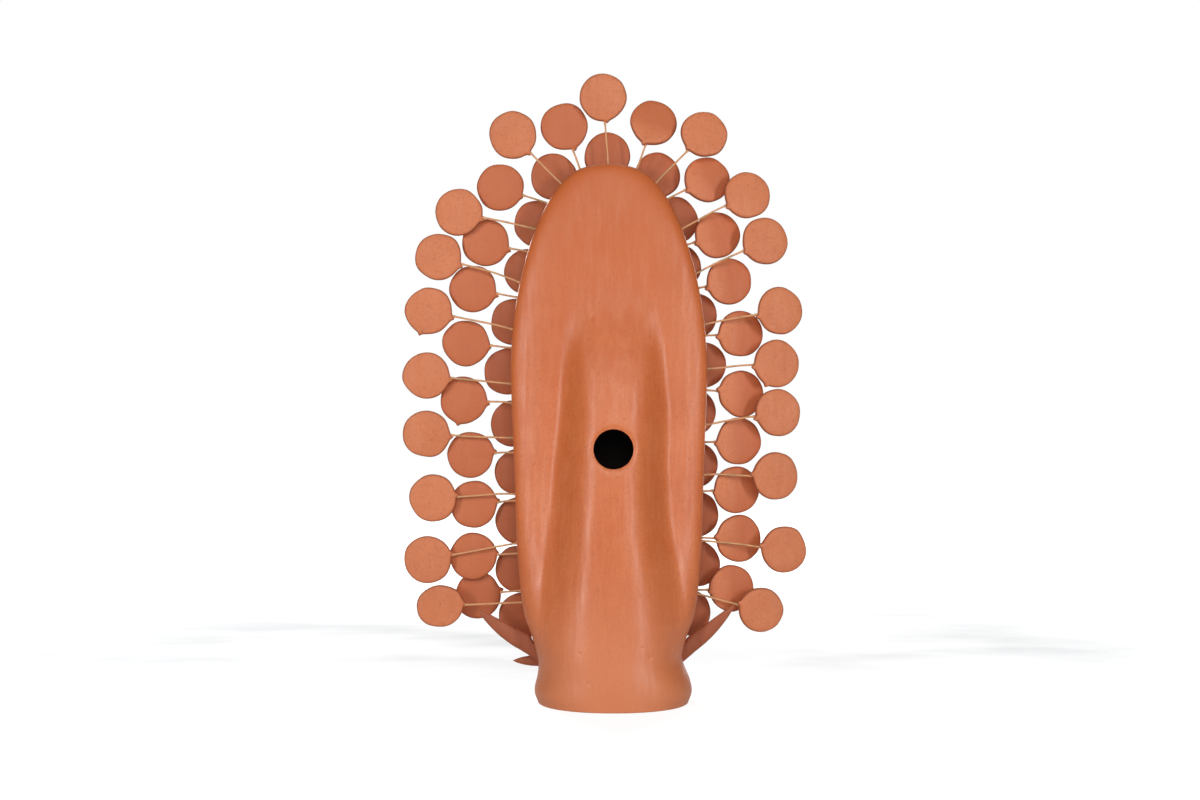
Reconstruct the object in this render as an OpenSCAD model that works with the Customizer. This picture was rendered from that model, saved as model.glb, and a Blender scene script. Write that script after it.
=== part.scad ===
// Clay tree of life: a hollow slab-built body on an oval foot, with three rings of
// clay discs on wires round its edge and a relief tree on its front.
// +Z is up, the burnished rear faces +Y and the front faces -Y.
// The origin is on the floor, under the middle of the whole tree.

/* [Body] */
// Height of the hollow body
body_h = 426; // [400:2:450]
// Width of the body at its widest
body_w = 156; // [146:2:166]
// Thickness of the clay wall
wall = 5; // [4:0.5:6]
// Depth of the flat front face, measured from the widest line
face_depth = 15; // [14:0.5:17]
// Depth of the foot behind the widest line
foot_rear = 51; // [45:1:53]
// Depth of the foot in front of the widest line
foot_front = 48; // [44:1:50]
// Thickness of the slab that closes the foot
base_t = 6; // [4:1:8]

/* [Vent] */
// Diameter of the round vent hole in the rear wall
vent_d = 31; // [26:1:36]
// Height of the vent's centre
vent_z = 201; // [190:1:215]

/* [Discs] */
// Diameter of a clay disc
disc_d = 38; // [34:0.5:39]
// Thickness of a clay disc
disc_t = 6.6; // [6:0.2:6.8]
// Length of the clay nub where the wire enters
nub_l = 6; // [4:0.5:7]
// Petals on the blossom of each disc
petals = 8; // [6:1:10]

/* [Wires] */
// Diameter of the wire
wire_d = 1.6; // [1.2:0.1:1.8]
// Gap round a wire in its socket
wire_gap = 0.1; // [0.05:0.05:0.15]
// Depth of the sockets in the body's wall
socket_l = 4; // [3:0.5:4]

/* [Relief] */
// Height of the relief trunk's top
trunk_top = 254; // [246:2:256]
// Thickness of the branches
branch_d = 6; // [5:0.5:6]
// Thickness of the flat leaves on the front face
leaf_t = 3; // [2:0.5:4]

/* [Hidden] */
OUTER_PER_SIDE = 9;
MIDDLE_PER_SIDE = 10;
OUTER_COUNT = 2 * OUTER_PER_SIDE + 1;
MIDDLE_COUNT = 2 * MIDDLE_PER_SIDE;

function two_digits(n) = n < 10 ? str("0", n) : str(n);
function outer_name(i) = str("outer_disc_", two_digits(i + 1));
function middle_name(i) = str("middle_disc_", two_digits(i + 1));

CLAY = "peru";
DARK_CLAY = "sienna";
WIRE = "darkkhaki";
$fn = 32;
// Sideways places of the vent and of the body's middle
VENT_X = -5.4;
BODY_X = -1.9;

// ---- the body's outline: half width and height on a body 156 wide and 426 high ----
OUTLINE = [
    [59.5, 0], [62.3, 11], [57.3, 33], [61, 51], [67.5, 70], [71, 95], [73.5, 130], [75, 178],
    [77, 230], [77.8, 270], [74.5, 310], [66.5, 349], [55, 382], [42, 405], [25, 421], [0, 426]
];
DESIGN_W = 156;
DESIGN_H = 426;
RINGS_PER_SPAN = 3;
RING_COUNT = RINGS_PER_SPAN * (len(OUTLINE) - 1);
STEPS_ROUND = 28;
APEX_W = 60;
APEX_FRONT_W = 22;

// Depth behind the widest line of the slab, by height
REAR_SLAB = [
    [0, 1], [13, 1.02], [24, 0.985], [36, 0.9], [50, 0.77], [70, 0.6], [100, 0.43], [130, 0.34],
    [160, 0.3], [260, 0.28], [340, 0.26], [426, 0.24]
];
// Rise of the rear column above the slab, its half width and its sideways place, by height
COLUMN_RISE = [
    [0, 0], [13, 0.4], [24, 1.8], [36, 5], [50, 10.5], [70, 16.5], [100, 23], [130, 26],
    [160, 27], [200, 25], [240, 20], [265, 14], [285, 8], [304, 3.2], [320, 0.8], [336, 0], [426, 0]
];
COLUMN_HALF = [
    [0, 64], [20, 62], [36, 60], [60, 59], [100, 56], [130, 52], [160, 49], [200, 47], [240, 45],
    [280, 42], [320, 37], [426, 36]
];
COLUMN_SHIFT = [[0, 0], [40, -1.5], [100, -1.5], [145, -0.5], [180, -1], [230, -3.5], [426, -4]];
// How flat the column's top is and how softly its sides run out
COLUMN_FLAT = 2.8;
COLUMN_FOOT = 1.8;
// How much narrower the column is inside, as a share of the wall
COLUMN_INSET = 0.7;
BODY_SHIFT = [[0, -5.4], [18, -5.4], [40, -2.4], [426, -1.9]];
// How far the front reaches at the foot, from 1 there to 0 where the flat face begins
FOOT_BLEND = [[0, 1], [16, 1], [28, 0.66], [40, 0.26], [50, 0.06], [60, 0], [426, 0]];
// Squareness of the cross-sections, by height
REAR_POWER = [[0, 2.1], [40, 2.3], [80, 2.6], [426, 2.6]];
FRONT_POWER = [[0, 2.1], [30, 2.4], [56, 4], [80, 5], [426, 5]];
FACE_OVER = 1.08;

function spline(p, q, r, s, t) =
    0.5 * (2 * q + (r - p) * t + (2 * p - 5 * q + 4 * r - s) * t * t
        + (3 * q - p - 3 * r + s) * t * t * t);
LAST = len(OUTLINE) - 1;
function control(i) =
    i < 0 ? [OUTLINE[0].x, -OUTLINE[1].y]
    : i > LAST ? [-OUTLINE[LAST - 1].x, OUTLINE[LAST - 1].y]
    : OUTLINE[i];
function outline_at(t) =
    let (i = min(floor(t), LAST - 1))
    let (p = spline(control(i - 1), control(i), control(i + 1), control(i + 2), t - i))
    [p.x * body_w / DESIGN_W, p.y * body_h / DESIGN_H];
OUTLINE_RINGS = [for (k = [0:RING_COUNT]) outline_at(k / RINGS_PER_SPAN)];
WIDTHS = [for (p = OUTLINE_RINGS) [p.y, p.x]];
function half_width(z) = lookup(z, WIDTHS);

function by_height(z, table) = lookup(z * DESIGN_H / body_h, table);
function squared(u, power) = pow(max(0, 1 - pow(min(1, abs(u)), power)), 1 / power);
function column(x, z, inset) =
    let (half = by_height(z, COLUMN_HALF) - inset * COLUMN_INSET)
    let (s = (x - by_height(z, COLUMN_SHIFT)) / half)
    abs(s) >= 1 ? 0
    : by_height(z, COLUMN_RISE) * pow(1 - pow(abs(s), COLUMN_FLAT), COLUMN_FOOT);
function rear_depth(u, w, z, inset) =
    let (slab = foot_rear * by_height(z, REAR_SLAB) * sqrt(min(1, w / APEX_W)))
    max(slab - inset, slab * 0.3) * squared(u, by_height(z, REAR_POWER))
        + column(u * w, z, inset) * min(1, squared(u, 2) * 1.5);
function front_depth(u, w, z, inset) =
    let (flat = face_depth + (foot_front - face_depth) * by_height(z, FOOT_BLEND))
    let (cap = sqrt(min(1, w / APEX_FRONT_W)))
    let (deep = max((flat - inset) * cap, flat * cap * 0.3))
    min(deep, FACE_OVER * deep * squared(u, by_height(z, FRONT_POWER)));

// One ring of the rear half from +X to -X, or of the front half from -X to +X
function ring(p, rear, inset, steps) =
    let (w = max(p.x - inset, p.x * 0.6))
    let (z = p.y * (body_h - inset) / body_h)
    [for (j = [0:steps])
        let (u = (rear ? 1 : -1) * cos(180 * j / steps))
        let (y = rear ? rear_depth(u, w, z, inset) : -front_depth(u, w, z, inset))
        [by_height(z, BODY_SHIFT) + u * w, y, z]];

module half_shell(rear) {
    steps = STEPS_ROUND;
    row = steps + 1;
    rows = RING_COUNT;
    half = rows * row + 1;
    inner_rings = [for (k = [0:rows - 1]) ring(OUTLINE_RINGS[k], rear, wall, steps)];
    outer_rings = [for (k = [0:rows - 1]) ring(OUTLINE_RINGS[k], rear, 0, steps)];
    apex_x = by_height(body_h, BODY_SHIFT);
    points = concat(
        [for (r = outer_rings) each r],
        [[apex_x, 0, body_h]],
        [for (r = inner_rings) each r],
        [[apex_x, 0, body_h - wall]]
    );
    function at(side, k, j) = side * half + k * row + j;
    function quad(a, b, c, d) = [[a, b, c], [a, c, d]];
    skin = [
        for (k = [0:rows - 2]) for (j = [0:steps - 1]) each concat(
            quad(at(0, k, j), at(0, k + 1, j), at(0, k + 1, j + 1), at(0, k, j + 1)),
            quad(at(1, k, j), at(1, k, j + 1), at(1, k + 1, j + 1), at(1, k + 1, j)))
    ];
    tip = [
        for (j = [0:steps - 1]) each [
            [at(0, rows - 1, j), half - 1, at(0, rows - 1, j + 1)],
            [at(1, rows - 1, j + 1), 2 * half - 1, at(1, rows - 1, j)]]
    ];
    rim = [
        for (j = [0:steps - 1]) each
            quad(at(0, 0, j), at(0, 0, j + 1), at(1, 0, j + 1), at(1, 0, j))
    ];
    seam = [
        for (k = [0:rows - 2]) each concat(
            quad(at(0, k, 0), at(1, k, 0), at(1, k + 1, 0), at(0, k + 1, 0)),
            quad(at(0, k, steps), at(0, k + 1, steps), at(1, k + 1, steps), at(1, k, steps)))
    ];
    seam_tip = concat(
        quad(at(0, rows - 1, 0), at(1, rows - 1, 0), 2 * half - 1, half - 1),
        quad(at(0, rows - 1, steps), half - 1, 2 * half - 1, at(1, rows - 1, steps))
    );
    polyhedron(points, concat(skin, tip, rim, seam, seam_tip), convexity = 6);
}

module rear_shell() {
    color(CLAY) difference() {
        half_shell(true);
        translate([VENT_X, 0, vent_z]) rotate([-90, 0, 0]) cylinder(d = vent_d, h = 2 * foot_rear);
    }
}

module front_shell() {
    color(CLAY) difference() {
        half_shell(false);
        for (s = concat(OUTER, MIDDLE, INNER)) wire_socket(s);
    }
}

module base_plate() {
    gap = 0.3;
    foot = [OUTLINE_RINGS[0].x, 0];
    inside = concat(
        ring(foot, true, wall + gap, STEPS_ROUND),
        ring(foot, false, wall + gap, STEPS_ROUND));
    color(CLAY) linear_extrude(base_t) polygon([for (p = inside) [p.x, p.y]]);
}

// ---- places of the discs ----
// A row of the outer and middle rings holds the height of the wire's root on the body's
// edge, how far the disc's centre is above it, how far it is out from the edge and,
// where it hangs further forward than its neighbours, by how much.
OUTER_LEFT = [
    [411, 39, 39], [375, 13.5, 61.5], [332, 21, 65], [295, 15, 67], [252, 6.5, 67.5],
    [209, 3, 69], [164, -3, 65.5], [125, -13, 71], [78, -3, 65.5]
];
OUTER_RIGHT = [
    [411, 39.5, 39], [375, 27, 52.5], [339, 26.5, 55.5], [299, 11, 60.5], [264, 4, 55.7],
    [219, 10, 58], [179, -0.5, 57.5], [127, -7, 66], [85, -13, 51]
];
MIDDLE_LEFT = [
    [422, 36, 13], [396, 13.3, 38.7], [357, 8, 34.3], [321, 7, 36], [281, 3.5, 37],
    [236, 3, 39], [197, -1.8, 35], [158, -2.5, 34], [116, -2, 36], [87, -5.5, 35.5, 7.8]
];
MIDDLE_RIGHT = [
    [422, 39, 13.8], [399, 16.5, 32.8], [363, 8, 25], [328, 6, 25.2], [290, 2, 29],
    [247, -3, 28.5], [205, 1, 28], [166, 1, 27.5], [129, -1, 30.5], [87, 1.2, 28]
];
// A row of the inner ring holds the height of the disc's centre and how far it is out
// from the body's edge, and how much further forward it hangs than its neighbours.
INNER_LEFT = [
    [419, 16], [381, 2], [342, -3], [302, 1], [262, 4], [220, 0], [181, -2], [142, -1],
    [103, 1], [64.5, 4.5, 7]
];
INNER_RIGHT = [
    [420, 13], [384, 0], [346, -11], [307, -6], [267.5, -1.5], [229, -9], [187, -6], [147, -4],
    [107, -1], [67.5, -3]
];
// Top discs: sideways place and height of the centre
OUTER_TOP = [2.4, 480];
INNER_TOP = [-1, 436];

// Depths of the wires' roots and of the discs' centres
OUTER_ROOT_Y = -5;
OUTER_DISC_Y = -6;
MIDDLE_ROOT_Y = -11;
MIDDLE_DISC_Y = -14.5;
INNER_DISC_Y = -23.5;
// Tilt of the discs on each side, outer edge towards the front
TILT_LEFT = -2;
TILT_RIGHT = 15;
INNER_TILT_RIGHT = 9;

function unit(v) = v / norm(v);
function edge_x(side, z) = by_height(z, BODY_SHIFT) + side * half_width(z);
// A place is [root, centre, tilt, side]; the root is on the body's surface
function edge_place(row, side, root_y, disc_y, tilt) =
    let (root = [edge_x(side, row[0]), root_y, row[0]])
    [root, root + [side * row[2], disc_y - root_y - (len(row) > 3 ? row[3] : 0), row[1]], tilt, side];
function edge_places(left, right, root_y, disc_y) = concat(
    [for (row = left) edge_place(row, 1, root_y, disc_y, TILT_LEFT)],
    [for (row = right) edge_place(row, -1, root_y, disc_y, TILT_RIGHT)]
);
// Outward direction of the outline in the XZ plane
function outward(side, z) =
    let (slope = (half_width(min(z + 2, body_h - 2)) - half_width(min(z - 2, body_h - 6))) / 4)
    unit([side, 0, -slope]);
FACE_ROOT_IN = 25;
function inner_place(x, z, side, tilt, forward = 0) =
    let (out = abs(x) < 10 ? [0, 0, 1] : outward(side, min(z, body_h - 8)))
    let (centre = [x, INNER_DISC_Y - forward, z])
    let (root = centre - out * FACE_ROOT_IN)
    [[root.x, -face_depth, root.z], centre, tilt, side];
OUTER = concat(
    [[[BODY_X, OUTER_ROOT_Y, body_h - 1], [OUTER_TOP.x, OUTER_DISC_Y, OUTER_TOP.y], 0, 1]],
    edge_places(OUTER_LEFT, OUTER_RIGHT, OUTER_ROOT_Y, OUTER_DISC_Y)
);
MIDDLE = edge_places(MIDDLE_LEFT, MIDDLE_RIGHT, MIDDLE_ROOT_Y, MIDDLE_DISC_Y);
INNER_LEFT_PLACES = concat(
    [inner_place(INNER_TOP.x, INNER_TOP.y, 1, 0)],
    [for (row = INNER_LEFT)
        inner_place(edge_x(1, row[0]) + row[1], row[0], 1, TILT_LEFT, len(row) > 2 ? row[2] : 0)]
);
INNER_RIGHT_PLACES = [
    for (row = INNER_RIGHT)
        inner_place(edge_x(-1, row[0]) - row[1], row[0], -1, INNER_TILT_RIGHT)
];
INNER = concat(INNER_LEFT_PLACES, INNER_RIGHT_PLACES);

// Frame of a disc: local X runs outward along its wire, local Z is its rear face's normal
function disc_axes(s) =
    let (flat = unit([s[1].x - s[0].x, 0, s[1].z - s[0].z]))
    let (x = unit(flat * cos(s[2]) - [0, sin(s[2]), 0]))
    let (z = unit([0, 1, 0] - x * (x.y)))
    [x, cross(z, x), z];
module at_disc(s) {
    a = disc_axes(s);
    c = s[1];
    multmatrix([
        [a[0].x, a[1].x, a[2].x, c.x],
        [a[0].y, a[1].y, a[2].y, c.y],
        [a[0].z, a[1].z, a[2].z, c.z],
        [0, 0, 0, 1]
    ]) children();
}
// Where the wire ends: inside the disc, short of its middle
WIRE_END = 0.42;
function wire_end(s) =
    let (a = disc_axes(s))
    s[1] - a[0] * disc_d * WIRE_END;
function wire_way(s) = unit(wire_end(s) - s[0]);

module rod(p, q, d) {
    v = q - p;
    translate(p)
        rotate([0, acos(v.z / norm(v)), atan2(v.y, v.x)])
            cylinder(d = d, h = norm(v));
}
module wire(s) {
    rod(s[0] - wire_way(s) * (socket_l - 2 * wire_gap), wire_end(s), wire_d);
}
// How far a socket's cutter reaches outside the skin, in socket depths
SOCKET_REACH = 4;
module wire_socket(s) {
    v = wire_way(s);
    rod(s[0] - v * socket_l, s[0] + v * SOCKET_REACH * socket_l, wire_d + 2 * wire_gap);
}

EDGE_R = 1.9;
// How far the nub is set into the disc and its root's radius as a share of the thickness
NUB_IN = 2;
NUB_ROOT = 0.46;
module disc(s) {
    r = disc_d / 2;
    difference() {
        union() {
            at_disc(s) rotate_extrude($fn = 48) pad_section(r);
            at_disc(s) translate([NUB_IN - r - nub_l, 0, 0]) rotate([0, 90, 0])
                cylinder(r1 = wire_d, r2 = disc_t * NUB_ROOT, h = nub_l);
        }
        v = wire_way(s);
        rod(wire_end(s) - v * disc_d, wire_end(s) + v * wire_gap, wire_d + 2 * wire_gap);
    }
}
// Section of the pad: straight faces and a rounded rim
module pad_section(r) {
    polygon(concat(
        [[0, -disc_t / 2]],
        [for (a = [-90:30:0]) [r - EDGE_R + EDGE_R * cos(a), -disc_t / 2 + EDGE_R + EDGE_R * sin(a)]],
        [for (a = [0:30:90]) [r - EDGE_R + EDGE_R * cos(a), disc_t / 2 - EDGE_R + EDGE_R * sin(a)]],
        [[0, disc_t / 2]]
    ));
}

// Blossom: radius of its ring of petals, radius of a petal, thickness, how much lower the
// petals are than the button, and the button's radii as shares of the ring's
BLOSSOM_R = 5.4;
PETAL_R = 2.9;
BLOSSOM_T = 2.2;
PETAL_DROP = 0.4;
BUTTON_TIP = 0.6;
BUTTON_ROOT = 0.8;
module blossom(s) {
    at_disc(s) translate([0, 0, -disc_t / 2 - BLOSSOM_T]) {
        for (k = [0:petals - 1]) rotate([0, 0, 360 * k / petals])
            translate([BLOSSOM_R, 0, PETAL_DROP]) cylinder(r = PETAL_R, h = BLOSSOM_T - PETAL_DROP);
        cylinder(r1 = BLOSSOM_R * BUTTON_TIP, r2 = BLOSSOM_R * BUTTON_ROOT, h = BLOSSOM_T);
    }
}

module outer_disc(i) { color(CLAY) disc(OUTER[i]); }
module middle_disc(i) { color(CLAY) disc(MIDDLE[i]); }
module inner_discs_left() { color(CLAY) for (s = INNER_LEFT_PLACES) disc(s); }
module inner_discs_right() { color(CLAY) for (s = INNER_RIGHT_PLACES) disc(s); }
module outer_wires() { color(WIRE) for (s = OUTER) wire(s); }
module middle_wires() { color(WIRE) for (s = MIDDLE) wire(s); }
module inner_wires() { color(WIRE) for (s = INNER) wire(s); }
module outer_blossoms() { color(DARK_CLAY) for (s = OUTER) blossom(s); }
module middle_blossoms() { color(DARK_CLAY) for (s = MIDDLE) blossom(s); }
module inner_blossoms() { color(DARK_CLAY) for (s = INNER) blossom(s); }

// ---- relief on the flat front face: local X across, local Y up, local Z forward ----
module on_face(x, z) {
    translate([x, -face_depth, z]) rotate([90, 0, 0]) children();
}
module half_round(r) {
    polygon([for (a = [0:30:180]) [r * cos(a), r * sin(a)]]);
}
module face_arc(x, z, radius, from, sweep, r) {
    on_face(x, z) rotate([0, 0, from]) rotate_extrude(angle = sweep, $fn = 48)
        translate([radius, 0]) half_round(r);
}
module dome(x, z, r) {
    on_face(x, z) rotate_extrude() intersection() {
        circle(r);
        square(r);
    }
}

RELIEF_FOOT = 86;
TRUNK_R = 11;
TRUNK_TIP_R = 6;
module trunk() {
    color(CLAY) intersection() {
        translate([BODY_X, -face_depth, RELIEF_FOOT])
            cylinder(r1 = TRUNK_R, r2 = TRUNK_TIP_R, h = trunk_top - RELIEF_FOOT);
        translate([BODY_X - TRUNK_R, -face_depth - TRUNK_R, 0])
            cube([2 * TRUNK_R, TRUNK_R, body_h]);
    }
}

// Branches: [height where it leaves the trunk, radius of its arch]
BOUGHS = [[118, 12], [170, 13], [222, 13.5]];
CURL_R = 5;
TRUNK_CLEAR = 0.4;
function trunk_r(z) =
    TRUNK_R + (TRUNK_TIP_R - TRUNK_R) * (z - RELIEF_FOOT) / (trunk_top - RELIEF_FOOT);
function bough_x(b) = trunk_r(b[0]) + TRUNK_CLEAR + branch_d / 2 + b[1];
module branches() {
    color(CLAY) for (side = [-1, 1]) for (b = BOUGHS) {
        x = bough_x(b);
        translate([BODY_X, 0, 0]) mirror([side < 0 ? 1 : 0, 0, 0]) {
            face_arc(x, b[0], b[1], 0, 180, branch_d / 2);
            face_arc(x + b[1] - CURL_R, b[0], CURL_R, -200, 200, branch_d / 2);
        }
    }
}

// Flat leaves: length, and as shares of it the arcs' radius and how far their middles are apart
LEAF_L = 11;
LEAF_ARC = 0.62;
LEAF_APART = 0.35;
LEAF_ANGLES = [52, 85, 118];
LEAF_CLEAR = 0.5;
module flat_leaf(l) {
    linear_extrude(leaf_t) intersection() {
        translate([l * LEAF_APART, 0]) circle(l * LEAF_ARC);
        translate([-l * LEAF_APART, 0]) circle(l * LEAF_ARC);
    }
}
module canopy_leaves() {
    color(CLAY) for (side = [-1, 1]) for (b = BOUGHS) for (a = LEAF_ANGLES) {
        reach = b[1] + (branch_d + LEAF_L) / 2 + LEAF_CLEAR;
        translate([BODY_X, 0, 0]) mirror([side < 0 ? 1 : 0, 0, 0])
            on_face(bough_x(b) + reach * cos(a), b[0] + reach * sin(a))
                rotate([0, 0, a - 90]) flat_leaf(LEAF_L);
    }
}

// Flowers: [sideways from the middle, height, radius of the ring of petals]
FLOWERS = [
    [0, 298, 9], [24, 322, 7], [-24, 322, 7], [0, 346, 8.5], [20, 368, 6], [-20, 368, 6],
    [0, 388, 6]
];
// A flower's petal and its button's root and tip, as shares of the ring's radius, and the
// button's height as a share of the leaves' thickness
FLOWER_PETAL = 0.5;
FLOWER_ROOT = 0.75;
FLOWER_TIP = 0.45;
FLOWER_RISE = 1.8;
module canopy_flowers() {
    color(DARK_CLAY) for (f = FLOWERS) on_face(BODY_X + f[0], f[1]) {
        for (k = [0:petals - 1]) rotate([0, 0, 360 * k / petals]) translate([f[2], 0, 0])
            cylinder(r = f[2] * FLOWER_PETAL, h = leaf_t);
        cylinder(r1 = f[2] * FLOWER_ROOT, r2 = f[2] * FLOWER_TIP, h = leaf_t * FLOWER_RISE);
    }
}
// Fruits: [sideways from the middle, height]
FRUITS = [
    [10, 327], [-10, 327], [33, 300], [-33, 300], [7, 367], [-7, 367], [19, 296], [-19, 296],
    [0, 278], [22, 345], [-22, 345]
];
FRUIT_R = 3.6;
module fruits() {
    color(DARK_CLAY) for (f = FRUITS) dome(BODY_X + f[0], f[1], FRUIT_R);
}

SERPENT_X = -22;
SERPENT_Z = 96;
SERPENT_R = 5.5;
SERPENT_D = 5;
SERPENT_HEAD = 3.75;
SERPENT_NOD = 2;
module serpent() {
    color(DARK_CLAY) translate([BODY_X, 0, 0]) {
        for (i = [0:3])
            face_arc(SERPENT_X - i * 2 * SERPENT_R, SERPENT_Z, SERPENT_R, i % 2 == 0 ? 0 : 180,
                180, SERPENT_D / 2);
        dome(SERPENT_X + SERPENT_R, SERPENT_Z - SERPENT_NOD, SERPENT_HEAD);
    }
}

// Two doves on the face, their beaks towards each other; a ball is its place and radius
BIRD_X = 19;
BIRD_Z = 266;
BODY_R = 5;
RUMP = [7, -2, 2.5];
HEAD = [-4, 4, 3.4];
NECK = [-1, 1, 4];
BEAK_L = 4;
BEAK_R = 1.4;
BEAK_SET = 2.5;
TAIL = [7, 6, 2.4];
TAIL_SET = [2, -0.5, 0];
TAIL_IN = 2;
TAIL_DROOP = 15;
RELIEF_REACH = 30;
module ball(p) {
    translate([p.x, p.y, 0]) sphere(p.z, $fn = 20);
}
module bird(side) {
    color(CLAY) translate([BODY_X, 0, 0]) mirror([side < 0 ? 1 : 0, 0, 0])
        on_face(BIRD_X, BIRD_Z) intersection() {
            union() {
                hull() {
                    ball([0, 0, BODY_R]);
                    ball(RUMP);
                }
                hull() {
                    ball(HEAD);
                    ball(NECK);
                }
                translate([HEAD.x - BEAK_SET, HEAD.y, 0]) rotate([0, -90, 0])
                    cylinder(r1 = BEAK_R, r2 = BEAK_R / 3, h = BEAK_L);
                translate([RUMP.x, RUMP.y, 0] + TAIL_SET) rotate([0, 0, -TAIL_DROOP])
                    translate([-TAIL_IN, -TAIL.y / 2, 0]) cube(TAIL);
            }
            translate([-RELIEF_REACH, -RELIEF_REACH, 0]) cube([2, 2, 1] * RELIEF_REACH);
        }
}

// ---- free leaves springing from the sides of the neck ----
// A leaf is swept from its root on the body's skin to its tip:
// [side, depth of its middle, height of its root, tip's distance out, tip's height,
//  half width at the root, half thickness at the root, sag]
LEAF_RINGS = 12;
LEAF_SIDES = 12;
LONG_LEAVES = [
    [1, -3.6, 42.5, 101.5, 72, 9, 3.4, 2.5],
    [-1, -3.6, 40, 102, 76, 8, 3.4, 2.5]
];
SHORT_LEAVES = [
    [1, -16, 30, 74, 30, 5.4, 3.2, 0],
    [-1, -24, 29, 61, 33, 4.8, 3, 0]
];
SKIN_GAP = 0.8;
// Distance out of the body's skin in front of the widest line
function skin_x(side, y, z) =
    let (flat = face_depth + (foot_front - face_depth) * by_height(z, FOOT_BLEND))
    let (power = by_height(z, FRONT_POWER))
    by_height(z, BODY_SHIFT) + side * half_width(z)
        * pow(1 - pow(min(1, abs(min(y, 0)) / (FACE_OVER * flat)), power), 1 / power);
function leaf_width(t) = 1 - 0.42 * t - 0.48 * pow(t, 4);
function leaf_ring(f, t) =
    let (root = [skin_x(f[0], f[1], f[2]), f[1], f[2]])
    let (tip = [f[0] * f[3], f[1], f[4]])
    let (along_leaf = unit(tip - root))
    let (across = [-along_leaf.z, 0, along_leaf.x] * f[0])
    let (mid = root + (tip - root) * t - [0, 0, f[7] * sin(180 * t)])
    [for (j = [0:LEAF_SIDES - 1])
        let (a = 360 * j / LEAF_SIDES)
        let (size = leaf_width(t))
        let (p = mid + across * f[5] * size * cos(a) + [0, f[6] * size * sin(a), 0])
        let (skin = skin_x(f[0], p.y, p.z) * f[0] + SKIN_GAP)
        [f[0] * (t > 0 ? max(p.x * f[0], skin) : skin), p.y, p.z]];
module swept_leaf(f) {
    n = LEAF_SIDES;
    rows = LEAF_RINGS;
    points = concat(
        [for (k = [0:rows]) each leaf_ring(f, k / rows)],
        [[skin_x(f[0], f[1], f[2]) + f[0] * SKIN_GAP, f[1], f[2]]],
        [[f[0] * (f[3] + 0.8), f[1], f[4] + 0.5]]
    );
    root = (rows + 1) * n;
    skin = [
        for (k = [0:rows - 1]) for (j = [0:n - 1]) each
            [[k * n + j, k * n + (j + 1) % n, (k + 1) * n + (j + 1) % n],
             [k * n + j, (k + 1) * n + (j + 1) % n, (k + 1) * n + j]]
    ];
    ends = [
        for (j = [0:n - 1]) each
            [[root, (j + 1) % n, j], [root + 1, rows * n + j, rows * n + (j + 1) % n]]
    ];
    faces = concat(skin, ends);
    polyhedron(points, f[0] > 0 ? faces : [for (q = faces) [q[0], q[2], q[1]]]);
}
module base_leaves_long() { color(CLAY) for (f = LONG_LEAVES) swept_leaf(f); }
module base_leaves_short() { color(CLAY) for (f = SHORT_LEAVES) swept_leaf(f); }

rear_shell();
front_shell();
base_plate();
for (i = [0:OUTER_COUNT - 1]) outer_disc(i);
for (i = [0:MIDDLE_COUNT - 1]) middle_disc(i);
inner_discs_left();
inner_discs_right();
outer_wires();
middle_wires();
inner_wires();
outer_blossoms();
middle_blossoms();
inner_blossoms();
trunk();
branches();
serpent();
canopy_leaves();
canopy_flowers();
fruits();
bird(1);  // bird_left
bird(-1);  // bird_right
base_leaves_long();
base_leaves_short();
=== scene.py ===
import math
import random

import bmesh
import bpy
import numpy as np
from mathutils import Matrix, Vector, noise
from mathutils.bvhtree import BVHTree


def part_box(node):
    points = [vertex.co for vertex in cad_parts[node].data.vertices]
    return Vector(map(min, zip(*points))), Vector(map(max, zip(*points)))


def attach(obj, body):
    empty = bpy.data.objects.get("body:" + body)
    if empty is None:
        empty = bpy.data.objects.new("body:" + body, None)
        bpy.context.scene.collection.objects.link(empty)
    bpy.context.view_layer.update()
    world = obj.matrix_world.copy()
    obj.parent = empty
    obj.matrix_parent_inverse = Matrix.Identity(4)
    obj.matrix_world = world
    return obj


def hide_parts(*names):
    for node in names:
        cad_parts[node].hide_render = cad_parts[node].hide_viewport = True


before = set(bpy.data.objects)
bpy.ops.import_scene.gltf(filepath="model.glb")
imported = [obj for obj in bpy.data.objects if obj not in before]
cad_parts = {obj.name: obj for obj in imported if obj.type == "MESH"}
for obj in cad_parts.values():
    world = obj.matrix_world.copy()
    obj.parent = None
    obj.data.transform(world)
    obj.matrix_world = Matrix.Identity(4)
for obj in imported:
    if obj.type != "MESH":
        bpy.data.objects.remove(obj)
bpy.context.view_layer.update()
MM = 0.001


# ---- small helpers ----

def as_mm(node):
    """A CAD node's lowest and highest corners in millimetres"""
    lo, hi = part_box(node)
    return np.array(lo) / MM, np.array(hi) / MM


def smooth_lookup(z, table):
    """A smooth curve through the table's points, without overshoot"""
    xs = np.array([row[0] for row in table], float)
    ys = np.array([row[1] for row in table], float)
    steps = np.diff(ys) / np.diff(xs)
    slopes = np.zeros(len(xs))
    same_way = steps[1:] * steps[:-1] > 0
    both = np.where(same_way, steps[1:] + steps[:-1], 1)
    slopes[1:-1] = np.where(same_way, 2 * steps[1:] * steps[:-1] / both, 0)
    slopes[0], slopes[-1] = steps[0], steps[-1]
    z = np.clip(z, xs[0], xs[-1])
    i = np.clip(np.searchsorted(xs, z) - 1, 0, len(xs) - 2)
    h = xs[i + 1] - xs[i]
    t = (z - xs[i]) / h
    return (
        ys[i] * (2 * t**3 - 3 * t**2 + 1)
        + slopes[i] * h * (t**3 - 2 * t**2 + t)
        + ys[i + 1] * (3 * t**2 - 2 * t**3)
        + slopes[i + 1] * h * (t**3 - t**2)
    )


def ramp(x, start, end):
    """0 before start, 1 after end and smooth between"""
    t = np.clip((x - start) / (end - start), 0, 1)
    return t * t * (3 - 2 * t)


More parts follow.
